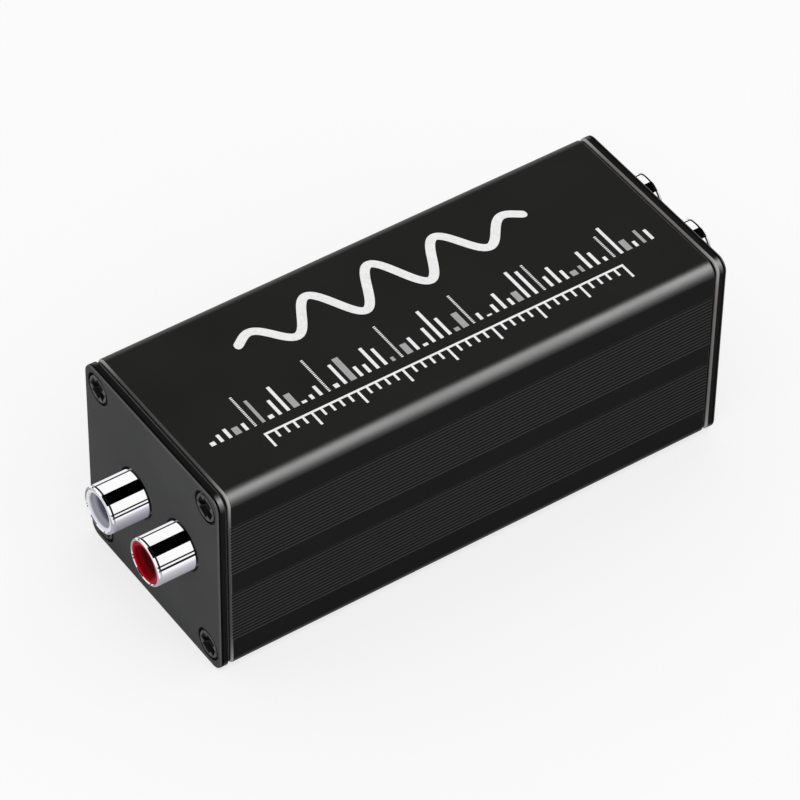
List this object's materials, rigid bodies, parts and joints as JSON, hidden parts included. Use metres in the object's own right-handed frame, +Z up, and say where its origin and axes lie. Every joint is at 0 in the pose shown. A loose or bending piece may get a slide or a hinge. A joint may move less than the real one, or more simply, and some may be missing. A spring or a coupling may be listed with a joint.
{
  "type": "ground loop isolator",
  "caption": "Square black aluminium box with white and red phono sockets on both end plates and grooved long sides.",
  "frame": {"origin": "centre of the case's underside, halfway between its ends", "axes": "+X towards the output end, +Y towards the white sockets, +Z up"},
  "size_m": [0.111, 0.038, 0.038],
  "materials": {
    "case_anodised": "black anodised, satin",
    "plate_anodised": "black anodised, fine bead-blasted",
    "screw_black": "blackened steel",
    "barrel_chrome": "polished",
    "insulator_white": "moulded, glossy",
    "insulator_red": "moulded, glossy",
    "contact_tinned": "tin plated",
    "housing_plastic": "moulded",
    "board_laminate": "solder resist on glass fibre laminate",
    "core_steel": "stacked laminations",
    "bobbin_nylon": "moulded",
    "winding_copper": "enamelled copper wire",
    "tape_yellow": "polyester film",
    "clamp_steel": "tin plated",
    "top_print": "screen print"
  },
  "bodies": {
    "root": {"case_body": "case_anodised", "input_end_plate": "plate_anodised", "input_plate_screws": "screw_black", "input_socket_housing": "housing_plastic", "input_white_barrel": "barrel_chrome", "input_white_insulator": "insulator_white", "input_white_contact": "contact_tinned", "input_white_ground_terminal": "contact_tinned", "input_red_barrel": "barrel_chrome", "input_red_insulator": "insulator_red", "input_red_contact": "contact_tinned", "input_red_ground_terminal": "contact_tinned", "output_end_plate": "plate_anodised", "output_plate_screws": "screw_black", "output_socket_housing": "housing_plastic", "output_white_barrel": "barrel_chrome", "output_white_insulator": "insulator_white", "output_white_contact": "contact_tinned", "output_white_ground_terminal": "contact_tinned", "output_red_barrel": "barrel_chrome", "output_red_insulator": "insulator_red", "output_red_contact": "contact_tinned", "output_red_ground_terminal": "contact_tinned", "circuit_board": "board_laminate", "white_core_e": "core_steel", "white_core_i": "core_steel", "white_bobbin": "bobbin_nylon", "white_primary_winding": "winding_copper", "white_inner_tape": "tape_yellow", "white_secondary_winding": "winding_copper", "white_outer_tape": "tape_yellow", "white_transformer_pins": "contact_tinned", "white_clamp": "clamp_steel", "red_core_e": "core_steel", "red_core_i": "core_steel", "red_bobbin": "bobbin_nylon", "red_primary_winding": "winding_copper", "red_inner_tape": "tape_yellow", "red_secondary_winding": "winding_copper", "red_outer_tape": "tape_yellow", "red_transformer_pins": "contact_tinned", "red_clamp": "clamp_steel"}
  },
  "joints": []
}
